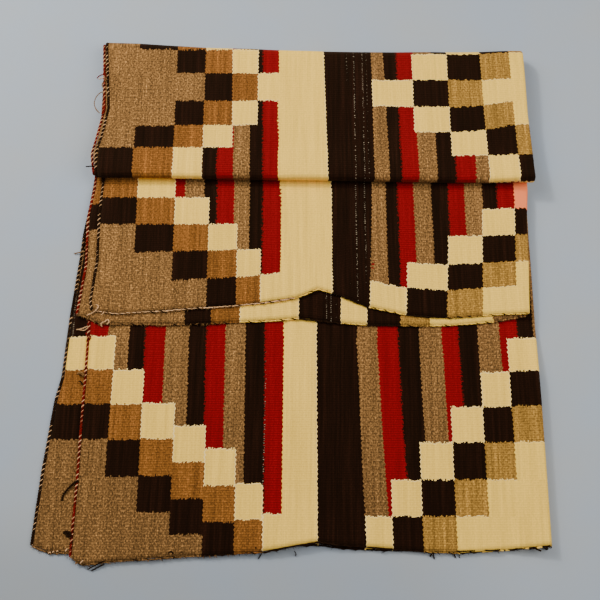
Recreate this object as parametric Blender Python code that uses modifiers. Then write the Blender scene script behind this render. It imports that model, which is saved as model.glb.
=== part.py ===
"""A hand-woven wool blanket, folded and lying flat.

The cloth is folded in half at the right, which lays its second half on its first, and the doubled
cloth is then folded back and forth: back panel, far fold, top panel, near fold, hidden tuck, inner
fold and middle panel. Metres, +Z up, +X along the folds, +Y away from the front, and the origin
under the middle of the whole stack.
"""

import bpy
import numpy as np

MM = 0.001

# The cloth and how closely its layers lie, centre to centre
CLOTH_THICKNESS = 2.4 * MM
LAYER_PITCH = 3.2 * MM
LEVEL_PITCH = 6.6 * MM
NEAR_FOLD_RADIUS = 5.0 * MM
PUFF_REACH = 60 * MM
INNER_FOLD_SETBACK = 8 * MM

# The doubled cloth springs open towards its fold at the right
SPRING_RISE = 0.2
SPRING_REACH = 70 * MM
SPRING_EDGE = 350 * MM

# Cords and loose yarn
END_CORD_WIDTH = 5.5 * MM
SIDE_CORD_WIDTH = 3.2 * MM
CORD_THICKNESS = 2.3 * MM
CORD_GAP = 0.4 * MM
CORD_SIDES = 6
YARN_DIAMETER = 2.0 * MM

# From the middle of the plan that the tables below are measured on to the part's own origin
PLAN_SHIFT = np.array((7.343, -19.819, 0.0)) * MM

# The runs of the doubled cloth in order: name, rows of faces, and how they crowd to a free edge
RUNS = (
    ("back panel", 10, 1.5),
    ("far fold", 8, 1.0),
    ("top panel", 6, 1.0),
    ("near fold", 8, 1.0),
    ("tuck", 4, 1.0),
    ("inner fold", 6, 1.0),
    ("middle panel", 9, 1.5),
)

# Fold lines, in mm
FOLD_LINES = (
    ("x", "far fold", "near fold"),
    (-370, 430, 194),
    (-260, 426, 193),
    (-150, 419, 191),
    (40, 411, 188),
    (360, 410, 183),
)

# Hems, in mm: the near one, where the second half lies on the first, and the middle one, where the
# first lies on the second
HEMS = (
    ("x", "near, second half", "near, first half", "middle, first half", "middle, second half"),
    (-368, -353, -353, -12, -18),
    (-345, -360, -362, -14, -20),
    (-314, -367, -363, -16, -29),
    (-300, -379, -364, -20, -38),
    (-270, -375, -364, -24, -39),
    (-180, -368, -364, -17, -39),
    (-90, -365, -362, -11, -36),
    (-3, -359, -360, 1, -30),
    (27, -354, -360, 14, -33),
    (60, -355, -360, 3, -38),
    (100, -357, -360, -13, -40),
    (155, -360, -360, -25, -41),
    (220, -363, -360, -30, -41),
    (290, -358, -357, -25, -35),
    (345, -352, -352, -24, -24),
)

# Side edges, in mm: x of each half's left end and of the fold at the right, by the distance along
# the middle of the cloth from its near hem
SIDE_EDGES = (
    ("distance", "first half", "second half", "right fold"),
    (0, -368, -313, 344),
    (100, -361, -311, 345),
    (320, -345, -310, 347),
    (470, -334, -311, 348),
    (780, -309, -314, 356),
    (890, -299, -306, 356),
    (935, -306, -314, 358),
    (965, -313, -321, 358),
    (1010, -310, -317, 358),
    (1225, -304, -319, 355),
    (1443, -306, -321, 350),
    (1487, -310, -327, 345),
    (1557, -307, -323, 342),
    (1617, -311, -330, 338),
    (1637, -303, -332, 337),
)

# Where the faces of a half meet, in mm across the stack; the last is where the fold begins
SECTION_STATIONS = (
    -311, -300, -275, -225, -180, -135, -90, -45, -5, 27, 60, 100, 155, 220, 285, 325, 345,
)
FOLD_STEPS = 6

# Rises of the layers, in mm but for the last, the share by which heights above the floor grow:
# x, y, reach in x, reach in y, growth
RISES = {
    "lifted near hem": (10, -365, 70, 45, 2.2),
    "arched middle hem": (27, 5, 45, 40, 0.45),
    "slack above the hem": (150, 60, 110, 60, 0.12),
    "hump of the top panel": (-60, 300, 160, 60, 0.08),
}

# Loose yarn ends, in mm: points of each middle line
LOOSE_ENDS = {
    "loose_end_near": ((-266, -381.5, 4.6), (-274, -382.5, 3.2), (-283, -384, 1.4), (-291, -385, 1.1)),
    "loose_end_near_short": ((-268, -384.6, 3.6), (-275, -387, 1.8), (-284, -390, 1.1)),
    "loose_end_middle": ((-306, -23.5, 11), (-310, -26, 10.9), (-315, -27, 10.7), (-322, -25, 10.5)),
}

# Colour and roughness of each piece
FINISHES = {
    "woven_blanket": ((0.60, 0.42, 0.24), 0.95),
    "end_cord_dark": ((0.05, 0.03, 0.02), 0.9),
    "end_cord_red": ((0.35, 0.02, 0.01), 0.9),
    "side_cord_near": ((0.05, 0.03, 0.02), 0.9),
    "side_cord_middle": ((0.75, 0.66, 0.48), 0.9),
    "loose_end_near": ((0.04, 0.025, 0.02), 0.9),
    "loose_end_near_short": ((0.04, 0.025, 0.02), 0.9),
    "loose_end_middle": ((0.75, 0.66, 0.48), 0.9),
}


def smooth(t):
    """0 below 0 and 1 above 1, with an easy slope between."""
    t = np.clip(t, 0, 1)
    return t * t * (3 - 2 * t)


def column(table, name, at):
    """One named column of a table, in metres, read at any values of its first column."""
    rows = np.array(table[1:], float) * MM
    return np.interp(at, rows[:, 0], rows[:, table[0].index(name)])


def loft(x, y):
    """How much the heights above the floor grow at a place of the plan, 1 or more."""
    grown = 1 + SPRING_RISE * smooth((x - SPRING_EDGE + SPRING_REACH) / SPRING_REACH)
    for middle_x, middle_y, reach_x, reach_y, growth in RISES.values():
        away_x = (x / MM - middle_x) / reach_x
        away_y = (y / MM - middle_y) / reach_y
        grown = grown + growth * np.exp(-(away_x**2) - away_y**2)
    return grown


def rows_along():
    """Each row across the cloth, as the name of its run and how far along the run it is, 0 to 1."""
    rows = []
    for name, steps, crowding in RUNS:
        share = np.arange(steps) / steps
        share = share**crowding if name == RUNS[0][0] else 1 - (1 - share) ** crowding
        rows += [(name, t) for t in share]
    return rows + [(RUNS[-1][0], 1.0)]


def doubled_cloth(name, t, x, near_hem, middle_hem):
    """Place (y, z) and upward side (ny, nz) of the doubled cloth's middle, at a share t of one run.

    The side points from the first half to the second: up on the back panel, and turning with the
    cloth through every fold.
    """
    far, near = column(FOLD_LINES, "far fold", x), column(FOLD_LINES, "near fold", x)
    low = (CLOTH_THICKNESS + LAYER_PITCH) / 2
    levels = [low + LEVEL_PITCH * k for k in range(4)]
    far_radius, inner_radius = 1.5 * LEVEL_PITCH, LEVEL_PITCH / 2
    far_start, near_start = far - far_radius, near + NEAR_FOLD_RADIUS
    inner_start = far - INNER_FOLD_SETBACK - inner_radius
    still, turned = np.zeros_like(x), np.ones_like(x)
    sine, cosine = np.sin(np.pi * t), np.cos(np.pi * t)
    if name == "back panel":
        return near_hem + (far_start - near_hem) * t, levels[0] + still, still, turned
    if name == "far fold":
        y = far_start + far_radius * sine
        return y, levels[0] + far_radius * (1 - cosine) + still, -sine + still, cosine + still
    if name == "top panel":
        y = far_start + (near_start - far_start) * t
        puff = 2 * NEAR_FOLD_RADIUS - LEVEL_PITCH
        return y, levels[3] + puff * smooth(1 - (y - near_start) / PUFF_REACH), still, -turned
    if name == "near fold":
        y = near_start - NEAR_FOLD_RADIUS * sine
        return y, levels[2] + NEAR_FOLD_RADIUS * (1 + cosine) + still, sine + still, -cosine + still
    if name == "tuck":
        return near_start + (inner_start - near_start) * t, levels[2] + still, still, turned
    if name == "inner fold":
        y = inner_start + inner_radius * sine
        return y, levels[1] + inner_radius * (1 + cosine) + still, sine + still, cosine + still
    return inner_start + (middle_hem - inner_start) * t, levels[1] + still, still, -turned


def run_distances():
    """Distance along the middle of the cloth at which each run starts and ends, by its name."""
    x = np.zeros(1)
    hems = column(HEMS, "near, first half", x), column(HEMS, "middle, first half", x)
    distances, start = {}, 0.0
    for name, _, _ in RUNS:
        line = [np.concatenate(doubled_cloth(name, t, x, *hems)[:2]) for t in np.linspace(0, 1, 33)]
        end = start + np.linalg.norm(np.diff(line, axis=0), axis=1).sum()
        distances[name] = start, end
        start = end
    return distances


def folded_grid():
    """Middle surface of the cloth, as points[row, column].

    The columns run along the first half to the fold at the right and back along the second half.
    """
    stations = np.array(SECTION_STATIONS, float)
    share = (stations - stations[0]) / (stations[-1] - stations[0])
    turn = np.linspace(-np.pi / 2, np.pi / 2, FOLD_STEPS + 1)[1:-1]
    count = len(share)
    half = np.concatenate([np.zeros(count), (np.sin(turn) + 1) / 2, np.ones(count)])
    along = np.concatenate([share, np.ones(len(turn)), share[::-1]])
    bulge = np.concatenate([np.zeros(count), np.cos(turn), np.zeros(count)]) * LAYER_PITCH / 2
    distances = run_distances()
    points = []
    for name, t in rows_along():
        start, end = distances[name]
        edges = [column(SIDE_EDGES, edge, start + (end - start) * t) for edge in SIDE_EDGES[0][1:]]
        left = edges[0] + (edges[1] - edges[0]) * half
        x = left + (edges[2] - LAYER_PITCH / 2 - left) * along + bulge
        near, near_below, middle, middle_below = [column(HEMS, hem, x) for hem in HEMS[0][1:]]
        near_hem = near_below + (near - near_below) * half
        middle_hem = middle + (middle_below - middle) * half
        y, z, side_y, side_z = doubled_cloth(name, t, x, near_hem, middle_hem)
        offset = (half - 0.5) * LAYER_PITCH
        y, z = y + side_y * offset, z + side_z * offset
        rest = CLOTH_THICKNESS / 2
        z = rest + (z - rest) * loft(x, y)
        points.append(np.stack([x, y, z], axis=1) + PLAN_SHIFT)
    return np.array(points)


def new_object(name, mesh_or_curve, collection):
    """An object of this name with its own finish, in the collection."""
    colour, roughness = FINISHES[name]
    material = bpy.data.materials.new(name)
    material.use_nodes = True
    shader = material.node_tree.nodes["Principled BSDF"]
    shader.inputs["Base Color"].default_value = (*colour, 1)
    shader.inputs["Roughness"].default_value = roughness
    shader.inputs["Metallic"].default_value = 0
    mesh_or_curve.materials.append(material)
    made = bpy.data.objects.new(name, mesh_or_curve)
    collection.objects.link(made)
    return made


def grid_faces(rows, columns, closed):
    """Faces between the points of a grid, whose rows close into rings if asked to."""
    index = np.arange(rows * columns).reshape(rows, columns)
    if closed:
        index = np.concatenate([index, index[:, :1]], axis=1)
    corners = index[:-1, :-1], index[:-1, 1:], index[1:, 1:], index[1:, :-1]
    return np.stack([c.ravel() for c in corners], axis=1).tolist()


def make_cloth(points, collection):
    """The cloth: an open surface through the grid, thickened by half each way."""
    rows, columns = points.shape[:2]
    mesh = bpy.data.meshes.new("woven_blanket")
    mesh.from_pydata(points.reshape(-1, 3).tolist(), [], grid_faces(rows, columns, False))
    mesh.shade_smooth()
    cloth = new_object("woven_blanket", mesh, collection)
    wall = cloth.modifiers.new("thickness", "SOLIDIFY")
    wall.thickness = CLOTH_THICKNESS
    wall.offset = 0
    return cloth


def make_edge_cord(name, line, outward, width, collection):
    """A flat cord that follows an edge of the cloth, a small gap outside it, with closed ends."""
    along = np.gradient(line, axis=0)
    along /= np.linalg.norm(along, axis=1)[:, None]
    outward = outward - (outward * along).sum(1)[:, None] * along
    outward /= np.linalg.norm(outward, axis=1)[:, None]
    upward = np.cross(along, outward)
    middle = line + outward * (CORD_GAP + width / 2)
    turn = (np.arange(CORD_SIDES) * 2 * np.pi / CORD_SIDES)[:, None]
    flat_side = np.sin(turn).max()
    ring = outward[:, None] * np.cos(turn) * width / 2
    ring = ring + upward[:, None] * np.sin(turn) / flat_side * CORD_THICKNESS / 2
    points = (middle[:, None] + ring).reshape(-1, 3)
    faces = grid_faces(len(line), CORD_SIDES, True)
    faces.append(list(range(CORD_SIDES))[::-1])
    faces.append(list(range(len(points) - CORD_SIDES, len(points))))
    mesh = bpy.data.meshes.new(name)
    mesh.from_pydata(points.tolist(), [], faces)
    mesh.shade_smooth()
    return new_object(name, mesh, collection)


def make_yarn(name, line, collection):
    """A loose yarn end, a round tube along its points."""
    curve = bpy.data.curves.new(name, "CURVE")
    curve.dimensions = "3D"
    curve.bevel_depth = YARN_DIAMETER / 2
    curve.bevel_resolution = 1
    curve.use_fill_caps = True
    spline = curve.splines.new("POLY")
    spline.points.add(len(line) - 1)
    for point, place in zip(spline.points, line):
        point.co = (*(np.array(place) * MM + PLAN_SHIFT), 1)
    return new_object(name, curve, collection)


def main():
    for old in list(bpy.data.objects):
        bpy.data.objects.remove(old, do_unlink=True)
    collection = bpy.data.collections.new("Folded blanket")
    bpy.context.scene.collection.children.link(collection)

    points = folded_grid()
    make_cloth(points, collection)
    left, front = np.array((-1.0, 0, 0)), np.array((0, -1.0, 0))
    make_edge_cord("end_cord_dark", points[:, 0], left, END_CORD_WIDTH, collection)
    make_edge_cord("end_cord_red", points[:, -1], left, END_CORD_WIDTH, collection)
    make_edge_cord("side_cord_near", points[0], front, SIDE_CORD_WIDTH, collection)
    make_edge_cord("side_cord_middle", points[-1], front, SIDE_CORD_WIDTH, collection)
    for name, line in LOOSE_ENDS.items():
        make_yarn(name, line, collection)


main()
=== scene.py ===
"""A hand-woven wool tapestry blanket, folded and lying flat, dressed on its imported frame.

The cloth is the map that its solid has, on a finer grid, with the weave charted on it in rows and
columns. Metres, +Z up, +X along the folds, +Y away from the near hem.
"""

from functools import partial

import bpy
import numpy as np
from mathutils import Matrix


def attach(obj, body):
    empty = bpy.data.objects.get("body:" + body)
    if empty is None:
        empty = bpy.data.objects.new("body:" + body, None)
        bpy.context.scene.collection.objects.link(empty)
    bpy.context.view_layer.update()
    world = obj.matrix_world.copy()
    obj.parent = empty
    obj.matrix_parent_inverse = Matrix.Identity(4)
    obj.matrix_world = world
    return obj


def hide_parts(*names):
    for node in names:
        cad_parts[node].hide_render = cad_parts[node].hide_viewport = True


bl_info = {
    "name": "Folded wool blanket",
    "version": (1, 0, 0),
    "blender": (4, 5, 0),
    "location": "View3D > Sidebar > Blanket",
    "description": "Dresses a folded tapestry blanket with its weave, edge cords and yarn ends",
    "category": "Object",
}

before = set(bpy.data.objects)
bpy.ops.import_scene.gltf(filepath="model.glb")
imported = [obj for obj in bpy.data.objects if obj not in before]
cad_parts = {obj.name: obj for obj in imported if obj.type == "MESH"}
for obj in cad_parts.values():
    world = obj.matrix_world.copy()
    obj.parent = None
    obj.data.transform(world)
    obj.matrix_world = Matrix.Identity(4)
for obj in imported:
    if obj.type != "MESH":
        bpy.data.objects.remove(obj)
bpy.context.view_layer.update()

MM = 0.001

# The cloth and how closely its layers lie, centre to centre
CLOTH_THICKNESS = 2.4 * MM
LAYER_PITCH = 3.2 * MM
LEVEL_PITCH = 6.6 * MM
NEAR_FOLD_RADIUS = 5.0 * MM
PUFF_REACH = 60 * MM
INNER_FOLD_SETBACK = 8 * MM
SPRING_REACH = 70 * MM
SPRING_EDGE = 350 * MM
# Woven distance less y up the back panel, and plus y down the top panel and the middle one: each
# stays the same along its panel
BACK_WEAVE = 362 * MM
TOP_WEAVE = 1204.6 * MM
MIDDLE_WEAVE = 1652.7 * MM
# Woven distances at which the near band of blocks ends, from which the middle dark stripe is
# loosely woven, at which a grey-brown corner starts and at which the cloth ends
NEAR_BAND_END = 450 * MM
LOOSE_START = 700 * MM
CORNER_START = 1632 * MM
CLOTH_END = 1637 * MM
# A stained block: its column, its row, and the woven distance about which it lies and reaches
STAIN_COLUMN, STAIN_ROW = 5.0, 6.0
STAIN_MIDDLE, STAIN_REACH = 1490 * MM, 45 * MM
# How far the middle lines of the cords lie from the cloth's edge, and at least above the floor
END_CORD_OUTSET = 2.6 * MM
SIDE_CORD_OUTSET = 1.04 * MM
CORD_LIFT = 1.9 * MM

# From the middle of the plan that the tables below are measured on to the part's own origin
PLAN_SHIFT = np.array((7.343, -19.819, 0.0)) * MM

# The camera looks at that middle from the near side, tilted from straight down, in degrees
CAMERA_TILT = 16.2
CAMERA_DISTANCE = 1.25

# The runs of the doubled cloth in order, each with its rows of faces
RUNS = {
    "back panel": 112,
    "far fold": 14,
    "top panel": 36,
    "near fold": 12,
    "tuck": 12,
    "inner fold": 6,
    "middle panel": 62,
}
HALF_COLUMNS = 80
FOLD_STEPS = 10

# Fold lines, in mm
FOLD_LINES = (
    ("x", "far fold", "near fold"),
    (-370, 430, 194),
    (-260, 426, 193),
    (-150, 419, 191),
    (40, 411, 188),
    (360, 410, 183),
)

# Hems, in mm: the near one, where the second half lies on the first, and the middle one, where the
# first lies on the second
HEMS = (
    ("x", "near, second half", "near, first half", "middle, first half", "middle, second half"),
    (-368, -353, -353, -12, -18),
    (-345, -360, -362, -14, -20),
    (-314, -367, -363, -16, -29),
    (-300, -379, -364, -20, -38),
    (-270, -375, -364, -24, -39),
    (-180, -368, -364, -17, -39),
    (-90, -364, -361, -11, -36),
    (-48, -360, -357, -5, -33),
    (-3, -352, -352, 1, -30),
    (27, -347, -351, 14, -33),
    (60, -353, -357, 3, -38),
    (100, -355, -358, -13, -40),
    (155, -359, -359, -25, -41),
    (220, -363, -360, -30, -41),
    (290, -358, -357, -25, -35),
    (345, -352, -352, -24, -24),
)

# Side edges, in mm: x of each half's left end and of the fold at the right, by the distance along
# the middle of the cloth from its near hem
SIDE_EDGES = (
    ("distance", "first half", "second half", "right fold"),
    (0, -368, -313, 344),
    (100, -361, -311, 345),
    (200, -351, -310.5, 346),
    (235, -343.5, -310, 346),
    (320, -338.5, -310, 347),
    (417, -330, -311, 348),
    (450, -328, -311, 348),
    (500, -321, -311, 349),
    (545, -316, -312, 350),
    (780, -309, -314, 356),
    (890, -299, -306, 356),
    (935, -306, -314, 358),
    (965, -313, -320, 358),
    (1010, -310, -313, 358),
    (1100, -306, -309, 357),
    (1350, -305, -311, 352),
    (1443, -302.5, -316, 350),
    (1487, -305, -322.5, 345),
    (1557, -303, -320, 342),
    (1617, -309, -327, 338),
    (1637, -303, -330, 337),
)

# How much the heights grow at the fold at the right, by y in mm. On the back panel its two layers
# part there and make a round fold
SPRING_RISES = ((-365, 3.8), (-120, 3.8), (-45, 0.75), (150, 0.45), (200, 0.2))

# Rises of the layers, in mm but for the last, the share by which heights above the floor grow:
# x, y, reach in x, reach in y, growth
RISES = {
    "lifted near hem": (10, -365, 70, 45, 2.2),
    "arched middle hem": (27, 5, 45, 40, 0.45),
    "slack above the hem": (150, 60, 110, 60, 0.12),
    "hump of the top panel": (-60, 300, 160, 60, 0.08),
}

# Slow waves of the layers: lengths in x and y in mm, turn of the wave, and growth of the heights
WAVES = (
    (310, 190, 0.6, 0.030),
    (140, 260, 2.1, 0.022),
    (95, 120, 4.0, 0.012),
)

# Where the woven columns meet, in mm across the stack, by the distance along the cloth. Column 0
# lies right of the line between the cream and the dark centre stripe
COLUMN_LINES = (("distance", *range(-9, 9)),)
# On the top panel the columns of both halves lie on one another
TOP_COLUMNS = (
    (760, -430, -372, -312, -258, -196, -151, -109, -66, -35,
     37, 114, 179, 235, 288, 333, 378, 423, 470),
    (1000, -430, -372, -312, -258, -196, -151, -104, -66, -35,
     43, 115, 179, 235, 291, 337, 378, 423, 470),
)
# At the near hem so do those at the right
NEAR_RIGHT = 128, 170, 217, 263, 304, 352, 400
FIRST_HALF_COLUMNS = COLUMN_LINES + (
    (0, -430, -375, -305, -255, -200, -150, -100, -60, -30, 26, 90, *NEAR_RIGHT),
    *TOP_COLUMNS,
    (1500, -430, -380, -322, -250, -192, -139, -95, -59, -31,
     49, 111, 166, 229, 280, 329, 377, 425, 475),
    (1680, -430, -380, -322, -250, -192, -139, -95, -59, -31,
     49, 103, 157, 217, 270, 319, 367, 415, 470),
)
SECOND_HALF_COLUMNS = COLUMN_LINES + (
    (0, -375, -324, -277, -228, -181, -135, -91, -51, -27, 24, 91.5, *NEAR_RIGHT),
    (50, -375, -323, -276, -228, -181, -135, -91, -51, -27, 24, 91, *NEAR_RIGHT),
    (300, -375, -320, -271, -227, -179, -134, -91, -51, -25, 24, 84, *NEAR_RIGHT),
    *TOP_COLUMNS,
    (1500, -460, -400, -345, -290, -225, -170, -132, -89, -50,
     -2, 61, 99, 149, 192, 240, 285, 360, 420),
)

# Where the stripes meet outwards from the two centre stripes, in mm, by the distance along it
STRIPE_LINES = (("distance", *range(13)),)
LEFT_STRIPES = {
    "first half": STRIPE_LINES + (
        (0, -27, -52, -80, -109, -138, -163, -199, -226, -253, -290, -317, -337, -365),
        (302, -27, -52, -80, -109, -138, -163, -199, -226, -253, -290, -317, -342, -370),
        (760, -35, -60, -80, -104, -128, -151, -175, -198, -222, -246, -270, -294, -318),
        (1000, -35, -57, -77, -103, -128, -151, -175, -198, -222, -246, -270, -294, -318),
        (1490, -31, -57, -77, -101, -128, -147, -178, -198, -222, -246, -270, -294, -318),
    ),
    "second half": STRIPE_LINES + (
        (0, -22, -50, -79, -109, -136, -162, -200, -227, -253, -284, -315, -345, -370),
        (302, -26, -51, -80, -110, -138, -163, -199, -228, -252, -284, -314, -345, -370),
        (760, -35, -60, -80, -104, -128, -151, -175, -198, -222, -246, -270, -294, -318),
    ),
}
RIGHT_STRIPES = {
    "first half": STRIPE_LINES + (
        (0, 90, 113, 145, 174, 206, 233, 261, 292, 320, 343, 372, 400, 428),
        (1000, 115, 138, 156, 183, 211, 240, 271, 292, 320, 345, 370, 395, 420),
        (1490, 111, 132, 150, 175, 202, 228, 253, 281, 303, 332, 360, 388, 416),
    ),
    "second half": STRIPE_LINES + (
        (0, 92, 125, 156, 186, 220, 243, 266, 303, 330, 353, 378, 404, 430),
        (50, 91, 123, 153, 183, 218, 240, 264, 301, 327, 350, 375, 401, 427),
        (153, 86, 118, 147.5, 178, 212.5, 236, 262, 299, 323, 346, 372, 400, 428),
        (302, 84, 113, 144, 175, 209, 233, 262, 294, 320, 343, 372, 400, 428),
        (1000, 115, 138, 156, 183, 211, 240, 271, 292, 320, 345, 370, 395, 420),
    ),
}

# Lines between the rows of blocks: distance along the cloth in mm, and rows from the middle of the
# nearest of its three bands of blocks, which lie at the two weft edges and halfway
FIRST_ROWS = (
    (0, -0.38), (24, 0), (47, 0.5), (97, 1.5), (149, 2.5), (200, 3.5), (251, 4.5), (301, 5.5),
    (351, 6.5), (401, 7.5), (452, 8.5),
)
LEFT_ROWS = FIRST_ROWS + (
    (500, 7.5), (548, 6.5), (597, 5.5), (645, 4.5), (693, 3.5),
    (741, 2.5), (793.5, 1.5), (835.8, 0.5), (860.5, 0), (885.2, 0.5), (927.7, 1.5), (965.1, 2.5),
    (1017.5, 3.5), (1058, 4.5), (1103, 5.5), (1148, 6.5), (1193, 7.5), (1238, 8.45), (1254, 8.5),
    (1300, 7.5), (1347, 6.5), (1395, 5.5), (1443, 4.5), (1492.1, 3.5), (1536, 2.5), (1581, 1.5),
    (1628, 0.5), (1660, 0), (1700, -0.4),
)
RIGHT_ROWS = FIRST_ROWS + (
    (502, 7.5), (552, 6.5), (605, 5.5), (657, 4.5), (705, 3.5),
    (753, 2.5), (801.1, 1.5), (848.2, 0.5), (871.5, 0), (894.9, 0.5), (939.1, 1.5), (980.1, 2.5),
    (1023.6, 3.5), (1070, 4.5), (1117, 5.5), (1164, 6.5), (1211, 7.5), (1257, 8.45), (1275, 8.5),
    (1321, 7.5), (1368, 6.5), (1415, 5.5), (1462, 4.5), (1511.5, 3.5), (1554, 2.5), (1595, 1.5),
    (1632, 0.5), (1658, 0), (1690, -0.4),
)

# How far the rows of the near band's left columns lie from the common lines, in rows: columns -1
# to 6, counted outwards from the cream stripe
NEAR_BAND_SHIFTS = (-0.08, 0.10, 0.16, 0.52, 0.89, 0.92, 0.92, 0.92)

# The ribs over the warps, the wefts, drawn about twice as coarse as the real ones, and the joins
RIB_PITCH = 3.3 * MM
WEFT_BEAD = 3.4 * MM
WEFT_PITCH = 1.7 * MM
# Half widths in mm of the steps in the joins between columns, rows and stripes, and of the painted
# highlight where the wefts turn beside them, and the height in mm of a row of blocks
WARP_TOOTH = 0.8
WEFT_TOOTH = 1.5
HATCH = 1.8
TURN_WIDTH = 1.0
ROW_MM = 48

# Yarns by number in the chart, which is a share of the count. STRIPED stands for the stripes' yarns
CREAM, DARK, TAN, HEATHER, RED, GOLD, STRIPED = range(7)
YARN_COUNT = 8


def linear(hex_colour):
    """An sRGB hex colour as linear red, green and blue."""
    parts = np.array([int(hex_colour[k:k + 2], 16) for k in (0, 2, 4)]) / 255
    bright = ((parts + 0.055) / 1.055) ** 2.4
    return tuple(np.where(parts <= 0.04045, parts / 12.92, bright).tolist())


def smooth(t):
    """0 below 0 and 1 above 1, with an easy slope between."""
    t = np.clip(t, 0, 1)
    return t * t * (3 - 2 * t)


def column(table, name, at):
    """One named column of a table, in metres, read at any values of its first column."""
    rows = np.array(table[1:], float) * MM
    return np.interp(at, rows[:, 0], rows[:, table[0].index(name)])


def spring_rise(y):
    """The growth of the heights at the fold at the right, read at y."""
    return np.interp(y / MM, *np.transpose(SPRING_RISES))


def loft(x, y):
    """How much the heights above the floor grow at a place of the plan: 1, plus an easy step up to
    the fold at the right, plus a bell-shaped rise for each lifted place, plus slow sine waves."""
    grown = 1 + spring_rise(y) * smooth((x - SPRING_EDGE + SPRING_REACH) / SPRING_REACH)
    for middle_x, middle_y, reach_x, reach_y, growth in RISES.values():
        away_x = (x / MM - middle_x) / reach_x
        away_y = (y / MM - middle_y) / reach_y
        grown = grown + growth * np.exp(-(away_x**2) - away_y**2)
    for length_x, length_y, turn, growth in WAVES:
        grown = grown + growth * np.sin(2 * np.pi * (x / length_x + y / length_y) / MM + turn)
    return grown


def doubled_cloth(name, t, x, near_hem, middle_hem, level_hem=0.0):
    """Place (y, z), upward side (ny, nz) and woven distance of the doubled cloth's middle, at a
    share t of one run.

    Panels are straight lines at the height of their level, and folds are half circles: y is the
    fold's start plus radius times sine, z its level plus radius times one less cosine. The woven
    distance grows evenly with y on a panel, so that the weave lies level there, and takes up the
    rest in the folds; by the middle hem it follows the hem.
    """
    far, near = column(FOLD_LINES, "far fold", x), column(FOLD_LINES, "near fold", x)
    low = (CLOTH_THICKNESS + LAYER_PITCH) / 2
    levels = [low + LEVEL_PITCH * k for k in range(4)]
    far_radius, inner_radius = 1.5 * LEVEL_PITCH, LEVEL_PITCH / 2
    far_start, near_start = far - far_radius, near + NEAR_FOLD_RADIUS
    inner_start = far - INNER_FOLD_SETBACK - inner_radius
    still = np.zeros(np.broadcast(x, t).shape)
    sine, cosine = np.sin(np.pi * t) + still, np.cos(np.pi * t) + still
    up_back, down_top = BACK_WEAVE + far_start, TOP_WEAVE - far_start
    down_middle = TOP_WEAVE - near_start
    near_arc, inner_arc = np.pi * NEAR_FOLD_RADIUS, np.pi * inner_radius
    inner_woven = MIDDLE_WEAVE - inner_start - inner_arc
    if name == "back panel":
        y = near_hem + (far_start - near_hem) * t
        return y, levels[0] + still, still, still + 1, y + BACK_WEAVE
    if name == "far fold":
        y = far_start + far_radius * sine
        z = levels[0] + far_radius * (1 - cosine)
        return y, z, -sine, cosine, up_back + (down_top - up_back) * t
    if name == "top panel":
        y = far_start + (near_start - far_start) * t
        puff = 2 * NEAR_FOLD_RADIUS - LEVEL_PITCH
        z = levels[3] + puff * smooth(1 - (y - near_start) / PUFF_REACH)
        return y, z, still, still - 1, TOP_WEAVE - y
    if name == "near fold":
        y = near_start - NEAR_FOLD_RADIUS * sine
        z = levels[2] + NEAR_FOLD_RADIUS * (1 + cosine)
        return y, z, sine, -cosine, down_middle + near_arc * t
    if name == "tuck":
        y = near_start + (inner_start - near_start) * t
        woven = down_middle + near_arc + (inner_woven - down_middle - near_arc) * t
        return y, levels[2] + still, still, still + 1, woven
    if name == "inner fold":
        y = inner_start + inner_radius * sine
        z = levels[1] + inner_radius * (1 + cosine)
        return y, z, sine, cosine, inner_woven + inner_arc * t
    y = inner_start + (middle_hem - inner_start) * t
    woven = MIDDLE_WEAVE - y
    woven = woven + smooth((woven - 1520 * MM) / (130 * MM)) * (middle_hem - level_hem)
    return y, levels[1] + still, still, still - 1, woven


def run_distances():
    """Distance along the middle of the cloth at which each run starts and ends, by its name."""
    x = np.zeros(1)
    hems = column(HEMS, "near, first half", x), column(HEMS, "middle, first half", x)
    distances, start = {}, 0.0
    for name in RUNS:
        line = [np.concatenate(doubled_cloth(name, t, x, *hems)[:2]) for t in np.linspace(0, 1, 33)]
        end = start + np.linalg.norm(np.diff(line, axis=0), axis=1).sum()
        distances[name] = start, end
        start = end
    return distances


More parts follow.
